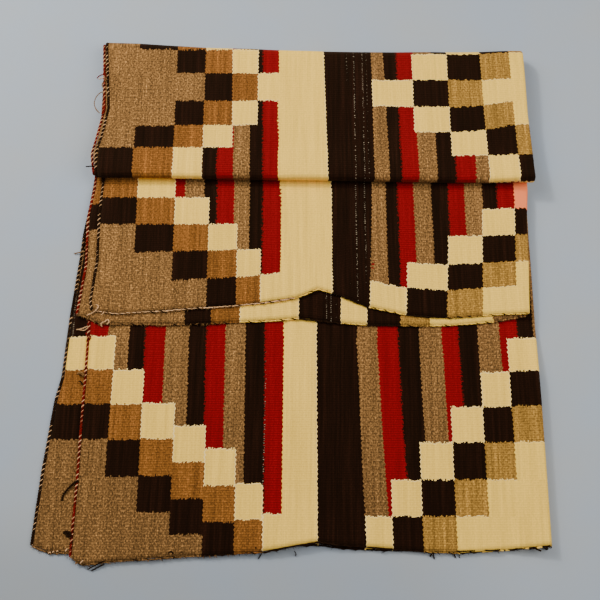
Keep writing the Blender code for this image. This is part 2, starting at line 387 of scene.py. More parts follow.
def folded_sheet():
    """The middle surface of the folded cloth as a grid of rows along it and columns across it.

    Columns run along the first half to the fold at the right and back along the second half, on
    straight lines joined by a half circle. Gives the points, and for each the plan's x, the
    distance along the cloth and the half, 0 to 1.
    """
    share = np.linspace(0, 1, HALF_COLUMNS)
    turn = np.linspace(-np.pi / 2, np.pi / 2, FOLD_STEPS + 1)[1:-1]
    half = np.concatenate([0 * share, (np.sin(turn) + 1) / 2, 0 * share + 1])[None]
    along = np.concatenate([share, 0 * turn + 1, share[::-1]])[None]
    bulge = np.concatenate([0 * share, np.cos(turn), 0 * share])[None]
    spans = run_distances()
    parts = []
    for name, steps in RUNS.items():
        last = name == list(RUNS)[-1]
        t = (np.arange(steps + last) / steps)[:, None]
        start, end = spans[name]
        left, left_second, fold = [
            column(SIDE_EDGES, edge, start + (end - start) * t) for edge in SIDE_EDGES[0][1:]
        ]
        left = left + (left_second - left) * half
        near, near_below, middle, middle_below = [column(HEMS, hem, fold) for hem in HEMS[0][1:]]
        y = doubled_cloth(name, t, fold, near_below, middle)[0]
        roundness = LAYER_PITCH / 2 * (1 + spring_rise(y)) ** 0.8
        x = left + (fold - roundness - left) * along + bulge * roundness
        near, near_below, middle, middle_below = [column(HEMS, hem, x) for hem in HEMS[0][1:]]
        near_hem = near_below + (near - near_below) * half
        middle_hem = middle + (middle_below - middle) * half
        level_hem = (-20 - 18 * half) * MM
        y, z, side_y, side_z, distance = doubled_cloth(name, t, x, near_hem, middle_hem, level_hem)
        offset = (half - 0.5) * LAYER_PITCH
        y, z = y + side_y * offset, z + side_z * offset
        rest = CLOTH_THICKNESS / 2
        z = rest + (z - rest) * loft(x, y)
        parts.append(np.stack([x, y, z, distance, half + 0 * x], axis=-1))
    grid = np.concatenate(parts)
    return grid[..., :3] + PLAN_SHIFT, grid[..., 0], grid[..., 3], grid[..., 4]


def stepped(x, lines, first):
    """A coordinate that grows by one from each line to the next: the sum of the shares of all gaps
    between lines that lie left of x. Gives it and its slope a millimetre."""
    value = np.full(x.shape, float(first))
    slope = np.zeros(x.shape)
    for low, high in zip(lines[:-1], lines[1:]):
        share = (x - low) / (high - low)
        value += np.clip(share, 0, 1)
        slope += np.where((share >= 0) & (share < 1), MM / (high - low), 0)
    return value, slope


def halves_lines(first, second, distance, half):
    """The lines of two tables, one for each half of the cloth, mixed by the half."""
    names = first[0][1:]
    tables = [[column(table, name, distance) for name in names] for table in (first, second)]
    return [a + (b - a) * half for a, b in zip(*tables)]


def chart(x, distance, half):
    """The chart's coordinates at places of the cloth, as named arrays.

    chart: column, and row counted from the middle of its band plus what its side adds, so that row
    less column gives the step of the blocks. stripes: stripe outwards from the centre stripes, and
    half. weave: metres along the warp and the weft. slopes: columns and stripes a millimetre.
    """
    lines = halves_lines(FIRST_HALF_COLUMNS, SECOND_HALF_COLUMNS, distance, half)
    across, across_slope = stepped(x, lines, FIRST_HALF_COLUMNS[0][1])
    # The second half's rows come later on the middle panel
    late = 10 * MM * half * smooth((distance - 1.25) / 0.15)
    # The rows of the top panel climb towards its right edge
    climb = 12 * MM * smooth((x - 0.25) / 0.1) * np.exp(-(((distance - 0.917) / 0.042) ** 4))
    rows = []
    for table, added in ((LEFT_ROWS, 1.5), (RIGHT_ROWS, 2.5)):
        rows.append(np.interp((distance - late + climb) / MM, *np.transpose(table)) + added)
    is_left = across < 0
    row = np.where(is_left, rows[0], rows[1])
    left, left_slope = stepped(
        -x, [-a for a in halves_lines(*LEFT_STRIPES.values(), distance, half)], 0
    )
    right, right_slope = stepped(x, halves_lines(*RIGHT_STRIPES.values(), distance, half), 0)
    stripe = np.where(is_left, left, right)
    stripe_slope = np.where(is_left, left_slope, right_slope)
    fold = column(SIDE_EDGES, "right fold", np.clip(distance, 0, CLOTH_END))
    along_warp = np.where(half < 0.5, x, 2 * fold - x)
    return {
        "chart": np.stack([across, row], axis=-1),
        "stripes": np.stack([stripe, half], axis=-1),
        "weave": np.stack([along_warp, distance], axis=-1),
        "slopes": np.stack([across_slope, stripe_slope, 0 * x], axis=-1),
    }


def unit(vectors):
    """Vectors scaled to length 1."""
    return vectors / np.linalg.norm(vectors, axis=-1, keepdims=True)


def new_piece(name, points, faces, finishes, finish_of=None, values=None):
    """A mesh object at the origin from points and faces, with its finishes and charted values."""
    mesh = bpy.data.meshes.new(name)
    mesh.from_pydata(points.tolist(), [], faces)
    mesh.shade_smooth()
    for finish in finishes:
        mesh.materials.append(finish)
    if finish_of is not None:
        mesh.polygons.foreach_set("material_index", np.asarray(finish_of, np.int32))
    corners = np.empty(len(mesh.loops), np.int32)
    mesh.loops.foreach_get("vertex_index", corners)
    for key, value in (values or {}).items():
        if value.shape[-1] == 2:
            layer = mesh.uv_layers.new(name=key)
            layer.uv.foreach_set("vector", value[corners].astype(np.float32).ravel())
        else:
            layer = mesh.attributes.new(key, "FLOAT_VECTOR", "POINT")
            layer.data.foreach_set("vector", value.astype(np.float32).ravel())
    mesh.validate()
    made = bpy.data.objects.new(name, mesh)
    bpy.context.scene.collection.objects.link(made)
    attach(made, "root")
    return made


def ring_faces(rings, sides):
    """Faces between rings of points, each ring closed on itself."""
    index = np.arange(rings * sides).reshape(rings, sides)
    following = np.roll(index, -1, axis=1)
    corners = index[:-1], following[:-1], following[1:], index[1:]
    return np.stack([c.ravel() for c in corners], axis=1)


def joined(bodies):
    """Several bodies, each as its points and faces, as one."""
    points, faces, start = [], [], 0
    for body, rings in bodies:
        points.append(body)
        faces += [[start + corner for corner in ring] for ring in rings]
        start += len(body)
    return np.concatenate(points), faces


def tube(line, radius, sides):
    """A closed tube: a circle of the radius carried along the line, square to it.

    The circle's two directions are the line's direction crossed with straight up, and that crossed
    with the direction. The radius may differ from point to point. Gives its points and its faces.
    """
    along = unit(np.gradient(line, axis=0))
    sideways = unit(np.cross(along, (0.0, 0.0, 1.0)))
    upward = np.cross(sideways, along)
    turn = 2 * np.pi * np.arange(sides) / sides
    radius = np.broadcast_to(radius, len(line))[:, None, None]
    ring = sideways[:, None] * np.cos(turn)[:, None] + upward[:, None] * np.sin(turn)[:, None]
    points = (line[:, None] + radius * ring).reshape(-1, 3)
    faces = ring_faces(len(line), sides)[:, ::-1].tolist()
    faces.append(list(range(sides)))
    faces.append(list(range(len(points) - 1, len(points) - sides - 1, -1)))
    return points, faces


def add_node(tree, kind, *inputs, out=0, stops=None, **settings):
    """Add a shader node and give one of its outputs, or all where out is None. Its kind may have an
    operation as a second word, and a kind in capitals is an operation of the Math node. Its inputs
    are values or sockets, in order or by name."""
    kind, _, operation = (f"Math {kind}" if kind.isupper() else kind).partition(" ")
    node = tree.nodes.new("ShaderNode" + kind)
    if operation:
        node.operation = operation
    for name, value in settings.items():
        setattr(node, name, value)
    inputs = inputs[0] if inputs and isinstance(inputs[0], dict) else dict(enumerate(inputs))
    for name, value in inputs.items():
        if isinstance(value, bpy.types.NodeSocket):
            tree.links.new(value, node.inputs[name])
        else:
            node.inputs[name].default_value = value
    if stops:
        elements = node.color_ramp.elements
        while len(elements) < len(stops):
            elements.new(1)
        for element, (place, colour) in zip(elements, stops):
            element.position = place
            element.color = (*(colour if hasattr(colour, "__len__") else [colour] * 3), 1)
        node.color_ramp.interpolation = "CONSTANT"
    return node.outputs if out is None else node.outputs[out]


# Scoured wool: the eye gets no gloss, and a soft warm sheen of loose fibre at grazing angles
WOOL = {
    "Roughness": 0.92,
    "Metallic": 0.0,
    "IOR": 1.54,
    "Specular IOR Level": 0.06,
    "Sheen Weight": 0.05,
    "Sheen Roughness": 0.6,
    "Sheen Tint": (1.0, 0.62, 0.3, 1),
    "Specular Tint": (1.0, 0.62, 0.3, 1),
}


def new_finish(name, constants):
    """A material with its shader's constants: it, the function that adds its nodes, and a function
    that joins sockets to its shader's inputs."""
    finish = bpy.data.materials.new(name)
    finish.use_nodes = True
    tree = finish.node_tree
    sockets = tree.nodes["Principled BSDF"].inputs
    for key, value in constants.items():
        sockets[key].default_value = value

    def join(colour, normal=None):
        tree.links.new(colour, sockets["Base Color"])
        if normal:
            tree.links.new(normal, sockets["Normal"])

    return finish, partial(add_node, tree), join


def chart_yarns(add):
    """The number of the yarn at each place, as a share of the yarns, from the charted values.

    Lines between columns step back and forth by a tooth at each second rib, and lines between rows
    by a finer tooth at each pair of wefts. The step of the blocks is the row less the column.
    """
    maps = {}
    for key in ("chart", "stripes", "weave"):
        maps[key] = add("SeparateXYZ", add("UVMap", uv_map=key), out=None)
    slopes = add("Attribute", out="Vector", attribute_name="slopes")
    slopes = add("SeparateXYZ", slopes, out=None)
    woven = maps["weave"][1]
    warp_mm = add("MULTIPLY", maps["weave"][0], 1 / MM)
    weft_mm = add("MULTIPLY", woven, 1 / MM)
    place = add("CombineXYZ", warp_mm, weft_mm)

    unevenness = add("TexNoise", {"Vector": place, "Scale": 0.13, "Detail": 2.0}, out="Color")
    unevenness = add("SeparateColor", unevenness, out=None)
    rib_mm = RIB_PITCH / MM
    tooth = add("PINGPONG", weft_mm, rib_mm)
    tooth = add("MULTIPLY_ADD", tooth, 2 * WARP_TOOTH / rib_mm, -WARP_TOOTH)
    tooth = add("ADD", tooth, add("MULTIPLY_ADD", unevenness[0], 3.0, -1.5))
    across = add("MULTIPLY_ADD", tooth, slopes[0], maps["chart"][0])
    stripe = add("MULTIPLY_ADD", tooth, slopes[1], maps["stripes"][0])
    weft = add("FLOOR", add("MULTIPLY", warp_mm, MM / WEFT_PITCH))
    chance = add("TexWhiteNoise", {"W": weft}, out="Value", noise_dimensions="1D")
    nick = add("MULTIPLY_ADD", chance, 2 * WEFT_TOOTH, -WEFT_TOOTH)
    nick = add("ADD", nick, add("MULTIPLY_ADD", unevenness[1], 3.0, -1.5))
    row = add("MULTIPLY_ADD", nick, 1 / ROW_MM, maps["chart"][1])

    whole = add("FLOOR", across)
    on_right = add("GREATER_THAN", across, 1.0)
    on_left = add("LESS_THAN", across, -1.0)
    outward_left = add("MULTIPLY_ADD", whole, -1.0, -3.0)
    outward_right = add("SUBTRACT", whole, 1.0)

    # The near band's left columns have their own row lines
    key = add("MULTIPLY_ADD", outward_left, 1 / 8, 1.5 / 8)
    shift_stops = [(k / 8, (shift + 0.1) / 2) for k, shift in enumerate(NEAR_BAND_SHIFTS)]
    shift = add("MULTIPLY_ADD", add("ValToRGB", key, stops=shift_stops), 2.0, -0.1)
    near_band = add("LESS_THAN", woven, NEAR_BAND_END)
    left_row = add("MULTIPLY_ADD", shift, near_band, row)

    looked_up, steps = [], []
    block_yarns = (HEATHER, DARK, TAN, CREAM, STRIPED), (CREAM, GOLD, DARK, CREAM, STRIPED)
    for rows, outward, yarns in (
        (left_row, outward_left, block_yarns[0]),
        (row, outward_right, block_yarns[1]),
    ):
        step = add("SUBTRACT", rows, outward)
        steps.append(step)
        key = add("MULTIPLY_ADD", step, 0.2, 0.2)
        stops = [(k / 5, yarn / YARN_COUNT) for k, yarn in enumerate(yarns)]
        looked_up.append(add("ValToRGB", key, stops=stops))

    # Single stitches of red and dark cross between a red and a dark stripe, so that they join
    # softly: the second line of three on the left, the third on the right
    stitch = add("VectorMath FLOOR", add("VectorMath MULTIPLY", place, (1.2, 0.6, 0.0)))
    stitch = add("TexWhiteNoise", {"Vector": stitch}, out="Value", noise_dimensions="2D")
    third = add("FRACT", add("MULTIPLY", stripe, 1 / 3))
    soft_left = add("ValToRGB", third, stops=[(0, 0.0), (0.5 / 3, 1.0), (1.5 / 3, 0.0)])
    soft_right = add("ValToRGB", third, stops=[(0, 0.0), (1.5 / 3, 1.0), (2.5 / 3, 0.0)])
    soft = add("Mix", {0: on_right, 2: soft_left, 3: soft_right})
    hatch = add("MULTIPLY", add("MULTIPLY_ADD", stitch, 2 * HATCH, -HATCH), soft)
    stripe = add("MULTIPLY_ADD", hatch, slopes[1], stripe)
    third = add("FRACT", add("MULTIPLY", stripe, 1 / 3))
    stripe_yarns = (RED, DARK, HEATHER), (HEATHER, DARK, RED), (HEATHER, RED, DARK)
    striped = []
    for yarns in stripe_yarns:
        stops = [(k / 3, yarn / YARN_COUNT) for k, yarn in enumerate(yarns)]
        striped.append(add("ValToRGB", third, stops=stops))
    second = add("GREATER_THAN", maps["stripes"][1], 0.5)
    right_stripes = add("Mix", {0: second, 2: striped[1], 3: striped[2]})
    stripes = add("Mix", {0: on_right, 2: striped[0], 3: right_stripes})
    blocks = add("Mix", {0: on_right, 2: looked_up[0], 3: looked_up[1]})
    is_striped = add("GREATER_THAN", blocks, (STRIPED - 0.5) / YARN_COUNT)
    outer = add("Mix", {0: is_striped, 2: blocks, 3: stripes})
    centre = add("GREATER_THAN", across, 0.0)
    centre = add("MULTIPLY_ADD", centre, (DARK - CREAM) / YARN_COUNT, CREAM / YARN_COUNT)
    is_outer = add("ADD", on_left, on_right)
    yarn = add("Mix", {0: is_outer, 2: centre, 3: outer})
    # The second half's right corner at the middle hem ends in grey-brown
    corner = add("MULTIPLY", add("GREATER_THAN", across, 6.0), second)
    corner = add("MULTIPLY", corner, add("GREATER_THAN", woven, CORNER_START))
    yarn = add("Mix", {0: corner, 2: yarn, 3: HEATHER / YARN_COUNT})
    # A number for each row of blocks, and 0 in the stripes, so that each block has its own streaks
    side_row = add("Mix", {0: on_right, 2: left_row, 3: row})
    block = add("FLOOR", add("ADD", side_row, 20.0))
    block = add("MULTIPLY", block, is_outer)
    block = add("MULTIPLY", block, add("SUBTRACT", 1.0, is_striped))

    # The white warp shows in single grooves of a loosely woven part of the middle dark stripe, and
    # here and there in other dark stripes
    loose = add("COMPARE", across, 0.68, 0.2)
    loose = add("MULTIPLY", loose, add("GREATER_THAN", woven, LOOSE_START))
    bare = add("GREATER_THAN", chance, add("MULTIPLY_ADD", loose, -0.22, 0.985))
    bare = add("MULTIPLY", bare, add("GREATER_THAN", stitch, 0.63))
    bare = add("MULTIPLY", bare, add("COMPARE", yarn, DARK / YARN_COUNT, 0.01))
    bare = add("MULTIPLY", bare, add("LESS_THAN", block, 0.5))

    # Painted highlight: cream is painted paler along its joins with darker yarns, where its wefts
    # turn and stand up
    step = add("GREATER_THAN", add("Mix", {0: on_right, 2: steps[0], 3: steps[1]}), 0.0)
    reach = add("MULTIPLY", slopes[0], TURN_WIDTH)
    turn_highlight_mask = []
    for lines, width in ((across, reach), (side_row, TURN_WIDTH / ROW_MM)):
        away = add("PINGPONG", lines, 0.5)
        turn_highlight_mask.append(add("LESS_THAN", away, width))
    joins = add("SUBTRACT", turn_highlight_mask[0], add("COMPARE", across, -1.0, 0.3))
    turn_highlight_mask = add("MAXIMUM", joins, add("MULTIPLY", turn_highlight_mask[1], is_outer))
    turn_highlight_mask = add("MULTIPLY", turn_highlight_mask, add("Mix", {0: is_outer, 2: 1.0, 3: step}))
    turn_highlight_mask = add("MULTIPLY", turn_highlight_mask, add("COMPARE", yarn, CREAM / YARN_COUNT, 0.01))

    # One cream block at the right edge of the middle panel is stained pink by the red beside it
    stain = add("COMPARE", woven, STAIN_MIDDLE, STAIN_REACH)
    for value, wanted in ((whole, STAIN_COLUMN), (add("FLOOR", row), STAIN_ROW)):
        stain = add("MULTIPLY", stain, add("COMPARE", value, wanted, 0.1))
    return yarn, warp_mm, weft_mm, block, bare, turn_highlight_mask, stain


# How strongly each yarn is speckled and streaked, and how much its ribs show, in the yarns' order
# The ribs show in the bump and as painted shade in their grooves
YARN_LOOKS = (
    (0.5, 0.7, 0.3),
    (1.6, 4.2, 0.9),
    (3.1, 2.4, 1.0),
    (5.2, 2.0, 0.8),
    (1.0, 0.9, 0.9),
    (3.0, 2.6, 0.9),
)


def woven_tapestry(colours):
    """Wool tapestry, woven by hand with the weft beaten down over the warp: the eye gets ribs over
    the warps, blocks and stripes with toothed joins, streaks where a yarn changes its shade, and
    speckled grey-brown where dark and pale fleece were carded together."""
    finish, add, join = new_finish("wool, hand-woven weft-faced tapestry", WOOL)
    yarn, warp_mm, weft_mm, block, bare, turn_highlight_mask, stain = chart_yarns(add)

    order = ("cream", "dark", "tan", "heather", "red", "gold")
    edges = [max(0, (k - 0.5) / YARN_COUNT) for k in range(len(order))]
    base = [(edge, tuple(getattr(colours, name))) for edge, name in zip(edges, order)]
    colour = add("ValToRGB", yarn, stops=base)
    looks = [(edge, tuple(look / 5 for look in looks)) for edge, looks in zip(edges, YARN_LOOKS)]
    looks = add("SeparateColor", add("ValToRGB", yarn, stops=looks), out=None)

    # Fleece speckle, 2 mm across and 3 mm along the yarn
    across = add("MULTIPLY", warp_mm, 0.45)
    speck = add("CombineXYZ", across, add("MULTIPLY", weft_mm, 0.30))
    noise = {"Vector": speck, "Scale": 1.0, "Detail": 2.0, "Roughness": 0.7}
    speck = add("TexNoise", noise, out="Fac")
    # Streaks where the yarn changes its shade, 2 to 8 mm wide and 200 mm long, along the weft
    across = add("MULTIPLY", warp_mm, 0.17)
    along = add("MULTIPLY_ADD", block, 7.3, add("MULTIPLY", weft_mm, 0.005))
    streak = add("CombineXYZ", across, along)
    noise = {"Vector": streak, "Scale": 1.0, "Detail": 3.0, "Roughness": 0.75}
    streak = add("TexNoise", noise, out="Fac")
    shade = 0.0
    for noise, share in ((speck, looks[0]), (streak, looks[1])):
        shade = add("MULTIPLY_ADD", add("MULTIPLY_ADD", noise, 5.0, -2.5), share, shade)
    shade = add("EXPONENT", shade)

    # The first grey-brown fleece that was woven is a little darker
    way = {"Value": weft_mm, "From Min": 120.0, "From Max": 320.0, "To Min": -0.16, "To Max": 0.0}
    early = add("MapRange", way)
    early = add("MULTIPLY_ADD", early, add("COMPARE", yarn, HEATHER / YARN_COUNT, 0.01), 1.0)
    shade = add("MULTIPLY", shade, early)

    # Ribs: the weft bulges over each warp and sinks between two, and the sinks get painted shade
    phase = add("MULTIPLY", weft_mm, np.pi / (RIB_PITCH / MM))
    rib = add("ABSOLUTE", add("SINE", phase))
    # Wefts, drawn coarser than the real ones because those are finer than the render shows
    bead = add("ADD", add("MULTIPLY", warp_mm, 2 * np.pi / (WEFT_BEAD / MM)), phase)
    bead = add("SINE", bead)
    painted_groove_shade = add("MULTIPLY_ADD", add("MULTIPLY_ADD", rib, 1.8, -1.8), looks[2], 1.0)
    colour = add("VectorMath SCALE", {0: colour, "Scale": add("MULTIPLY", shade, painted_groove_shade)})

    # White warp, only in the grooves between ribs
    in_groove = add("Clamp", {"Value": add("MULTIPLY_ADD", rib, -1.3, 0.9)})
    shows = add("MULTIPLY", bare, in_groove)
    # Painted highlight where cream meets darker yarns
    pale = add("MULTIPLY", turn_highlight_mask, 0.55)
    for share, over in ((shows, colours.warp), (pale, colours.turns), (stain, colours.stain)):
        colour = add("Mix", {0: share, 6: colour, 7: (*over, 1)}, out=2, data_type="RGBA")

    height = add("MULTIPLY", add("MULTIPLY_ADD", bead, 0.22, rib), looks[2])
    height = add("MULTIPLY_ADD", speck, 0.2, height)
    join(colour, add("Bump", {"Height": height, "Strength": 0.55, "Distance": 2.2 * MM}))
    return finish


def plied_wool(name, colour):
    """Hand-spun wool yarn, plied: the eye gets an uneven matt thread with flecks of lighter and
    darker fleece along it."""
    finish, add, join = new_finish(name, WOOL)
    place = add("TexCoord", out="Object")
    noise = {"Vector": place, "Scale": 450.0, "Detail": 2.0, "Roughness": 0.6}
    fleck = add("TexNoise", noise, out="Fac")
    shade = add("MULTIPLY_ADD", fleck, 1.2, 0.4)
    shaded = add("VectorMath SCALE", {0: tuple(colour), "Scale": shade})
    join(shaded, add("Bump", {"Height": fleck, "Strength": 0.5, "Distance": 0.3 * MM}))
    return finish


def plain_backdrop(name, colour):
    """Plain cotton backdrop cloth: a matt ground, faintly mottled in a cooler and a warmer grey."""
    finish, add, join = new_finish(name, {"Roughness": 0.95, "Specular IOR Level": 0.1})
    place = add("TexCoord", out="Object")
    blotch = add("TexNoise", {"Vector": place, "Scale": 7.0, "Detail": 4.0}, out="Fac")
    blotch = add("MULTIPLY_ADD", blotch, 3.0, -1.0)
    tints = (0.97, 1.0, 1.05), (1.03, 1.0, 0.96)
    cool, warm = ((*(np.array(colour) * tint), 1) for tint in tints)
    ground = add("Mix", {0: blotch, 6: cool, 7: warm}, out=2, data_type="RGBA")
    # Painted shade: the backdrop is darkened in front of the blanket, less so at the right
    painted_shade = []
    for axis, unshaded_at, shaded_at in ((0, 0.34, 0.12), (1, -0.3, -0.42)):
        way = add("SeparateXYZ", place, out=axis)
        spread = {"Value": way, "From Min": unshaded_at, "From Max": shaded_at}
        painted_shade.append(add("MapRange", spread, interpolation_type="SMOOTHSTEP"))
    painted_shade = add("MULTIPLY", add("MULTIPLY", painted_shade[0], painted_shade[1]), 0.12)
    ground = add("Mix", {0: painted_shade, 6: ground, 7: (0, 0, 0, 1)}, out=2, data_type="RGBA")
    join(ground)
    return finish


KEPT_FINISHES = {}


def finishes():
    """The materials by their short names, made once."""
    colours = bpy.context.scene.blanket_colours
    makers = {
        "tapestry": lambda: woven_tapestry(colours),
        "dark": lambda: plied_wool("wool, plied, dark brown", colours.dark_cord),
        "white": lambda: plied_wool("wool, plied, natural white", colours.white_cord),
        "red": lambda: plied_wool("wool, plied, dyed red", colours.red_cord),
        "fawn": lambda: plied_wool("wool, plied, grey-brown", colours.heather),
    }
    made = {}
    for key, maker in makers.items():
        found = bpy.data.materials.get(KEPT_FINISHES.get(key, ""))
        made[key] = found or maker()
        KEPT_FINISHES[key] = made[key].name
    return made


# Stretches of the near hem in mm along which its cord is dark
DARK_STRETCHES = (
    (-44, 32), (99, 135), (227, 257), (272, 278), (286, 289), (294, 310), (320, 330), (337, 347),
)


def cord_line(points, outward, outset):
    """The middle line of a cord along an edge of the cloth: the edge moved outwards, in the edge's
    cross plane, and raised to clear the floor. Gives it and its outward and upward directions."""
    along = unit(np.gradient(points, axis=0))
    outward = unit(outward - (outward * along).sum(-1, keepdims=True) * along)
    line = points + outward * outset
    line[:, 2] = np.maximum(line[:, 2], CORD_LIFT)
    return line, outward, np.cross(along, outward)


def resampled(distance, at, *arrays):
    """Arrays given along a line, read at other distances."""
    read = []
    for array in arrays:
        flat = array.reshape(len(distance), -1)
        read.append(np.stack([np.interp(at, distance, part) for part in flat.T], axis=-1))
    return read


def uneven(at, seed):
    """The slow unevenness of hand-spun yarn along its length, about -1 to 1: three sine waves."""
    return (
        0.5 * np.sin(at / 0.0091 + seed)
        + 0.3 * np.sin(at / 0.0043 + 2.3 * seed)
        + 0.35 * np.sin(at / 0.023 + 4.1 * seed)
    )


def twined_strands(line, outward, upward, strands, turn, extra=None, steps=9):
    """Strands that wind round a middle line: each strand's line is the middle plus the outward
    direction times half the width times the cosine of its turn, plus the upward direction times
    half the height times its sine. Its radius varies along it. Gives the points, the faces, the
    strand of each face and the extra values."""
    distance = np.concatenate([[0], np.cumsum(np.linalg.norm(np.diff(line, axis=0), axis=1))])
    at = np.linspace(0, distance[-1], max(6, int(distance[-1] / turn * steps)))
    extra = 0 * line if extra is None else extra
    line, outward, upward, extra = resampled(distance, at, line, outward, upward, extra)
    wobble = 0.9 * np.sin(at / 0.037) + 0.6 * np.sin(at / 0.0153 + 1)
    bodies, of_strand, sides = [], [], 6
    for number, (_, phase, half_width, half_height, radius, spread) in enumerate(strands):
        angle = 2 * np.pi * (at / turn + phase) + wobble
        path = line + outward * (half_width * MM * np.cos(angle))[:, None]
        path = path + upward * (half_height * MM * np.sin(angle))[:, None]
        thickness = radius * MM * np.clip(1 + spread * uneven(at, number + 1.7), 0.15, 1.6)
        bodies.append(tube(path, thickness, sides))
        of_strand += [number] * len(bodies[-1][1])
    values = np.concatenate([np.repeat(extra, sides, axis=0)] * len(strands))
    return *joined(bodies), np.array(of_strand), values


def metres(name, description, default):
    """A length property in metres."""
    return bpy.props.FloatProperty(
        name=name, description=description, default=default, unit="LENGTH"
    )


def hue(name, description, hex_colour):
    """A colour property, its default given as sRGB hex."""
    return bpy.props.FloatVectorProperty(
        name=name, description=description, default=linear(hex_colour), subtype="COLOR"
    )


class BlanketSizes(bpy.types.PropertyGroup):
    """Sizes of the cords and the yarn"""

    end_cord_turn: metres("End cord turn", "Length of one turn of the twined end cords", 7.4 * MM)
    side_cord_turn: metres("Side cord turn", "Length of one turn of the plied side cords", 16 * MM)
    yarn_radius: metres("Yarn radius", "Radius of a loose plied yarn end", 1.0 * MM)
    floor_width: metres("Floor width", "Width of the plain floor below the blanket", 6.0)


class BlanketColours(bpy.types.PropertyGroup):
    """Colours of the yarns and of the floor"""

    cream: hue("Cream", "Natural white weft", "F4C552")
    dark: hue("Dark", "Dark brown weft", "170804")
    tan: hue("Tan", "Tan weft of the left blocks", "815022")
    heather: hue("Grey-brown", "Carded grey-brown weft", "7C5830")
    red: hue("Red", "Dyed red weft", "7E0610")
    gold: hue("Golden tan", "Tan weft of the right blocks", "9C7231")
    dark_cord: hue("Dark cord", "Dark brown cord yarn", "180A04")
    white_cord: hue("White cord", "White cord yarn", "CFA272")
    red_cord: hue("Red cord", "Dyed red cord yarn", "680806")
    # Painted highlight on cream along its joins with darker yarns
    turns: hue("Turns", "Cream where its wefts turn", "FADFA6")
    stain: hue("Stain", "Cream stained by red dye", "F27E4C")
    warp: hue("Warp", "White warp where it shows", "C4B090")
    floor: hue("Floor", "Pale floor", "9EA4A9")


class BLANKET_OT_cloth(bpy.types.Operator):
    """Make the folded tapestry cloth"""

    bl_idname = "blanket.cloth"
    bl_label = "Tapestry cloth"

    def execute(self, context):
        middle, x, distance, half = folded_sheet()
        rows, columns = x.shape
        normal = unit(np.cross(np.gradient(middle, axis=0), np.gradient(middle, axis=1)))
        wall = CLOTH_THICKNESS / 2
        # Round each row from the outer face over the second half's edge to the inner face and back
        order = np.concatenate([np.arange(columns), np.arange(columns)[::-1]])
        sign = np.concatenate([np.ones(columns), -np.ones(columns)])
        points = (middle[:, order] + normal[:, order] * (sign * wall)[None, :, None]).reshape(-1, 3)
        ring = 2 * columns
        faces = ring_faces(rows, ring)[:, ::-1]
        outer = np.arange(columns)
        inner = ring - 1 - outer
        first = np.stack([outer[:-1], outer[1:], inner[1:], inner[:-1]], axis=1)
        last = first[:, ::-1] + (rows - 1) * ring
        faces = np.concatenate([faces, first, last]).tolist()
        charted = chart(x, distance, half)
        values = {key: value[:, order].reshape(len(points), -1) for key, value in charted.items()}
        cloth = new_piece("tapestry_cloth", points, faces, [finishes()["tapestry"]], values=values)
        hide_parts("woven_blanket")
        return {"FINISHED"}


# Strands of the cords, in mm: yarn, turn at the start, half width and half height of their winding,
# radius, and how much the radius varies
DARK_END_STRANDS = (
    ("dark", 0.0, 1.0, 0.35, 1.3, 0.15),
    ("dark", 0.5, 1.0, 0.35, 1.3, 0.15),
    ("white", 0.25, 1.6, 1.0, 0.45, 1.7),
)
RED_END_STRANDS = (
    ("red", 0.0, 0.9, 0.35, 1.2, 0.2),
    ("red", 0.5, 0.9, 0.35, 1.2, 0.2),
    ("white", 0.25, 1.5, 0.95, 0.55, 1.0),
    ("dark", 0.75, 1.5, 0.8, 0.65, 1.3),
)
SIDE_STRANDS = (
    ("main", 0.0, 0.5, 0.5, 0.75, 0.3),
    ("main", 0.5, 0.5, 0.5, 0.75, 0.3),
    ("dark", 0.25, 1.15, 0.95, 0.55, 2.0),
)


class BLANKET_OT_end_cords(bpy.types.Operator):
    """Twine the cords of the two warp ends"""

    bl_idname = "blanket.end_cords"
    bl_label = "End cords"

    def execute(self, context):
        middle = folded_sheet()[0]
        made = finishes()
        left = np.array((-1.0, 0, 0))
        turn = context.scene.blanket_sizes.end_cord_turn
        for name, node, slot, edge, strands in (
            ("twined_end_cord_dark", "end_cord_dark", "dark_twined_wool", 0, DARK_END_STRANDS),
            ("twined_end_cord_red", "end_cord_red", "red_twined_wool", -1, RED_END_STRANDS),
        ):
            line, outward, upward = cord_line(middle[:, edge], left, END_CORD_OUTSET)
            points, faces, of_strand, _ = twined_strands(line, outward, upward, strands, turn)
            yarns = [made[strand[0]] for strand in strands]
            cord = new_piece(name, points, faces, yarns, of_strand)
            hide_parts(node)
        return {"FINISHED"}


def hem_hair(line, outward, count, reach, seed):
    """Short loose hairs of yarn along a hem, as far as x is below the reach: each is a thin tube
    from the cord outwards, at a chance angle and length. Gives the points and faces."""
    chance = np.random.default_rng(seed + 10)
    places = np.flatnonzero(line[:, 0] < reach)
    bodies = []
    for place, lean, length, thickness, fall in zip(
        chance.choice(places, count), *(chance.uniform(-1, 1, (4, count)))
    ):
        along = unit(line[min(place + 1, len(line) - 1)] - line[place - 1])
        way = outward[place] * (1 - 0.5 * lean**2) + along * 1.2 * lean
        way = way * (3.2 + 1.6 * length) * MM
        root = line[place] - 0.3 * way + along * 3 * MM * length
        tip = line[place] + way + (0, 0, (0.4 - 1.1 * fall) * MM)
        elbow = (root + tip) / 2 + along * 0.8 * MM * fall + (0, 0, 0.9 * MM)
        path = eased(np.array((root, elbow, tip)), 6)
        path[:, 2] = np.maximum(path[:, 2], 0.7 * MM)
        bodies.append(tube(path, (0.42 + 0.2 * thickness) * MM * np.linspace(1, 0.4, 6), 5))
    return joined(bodies)


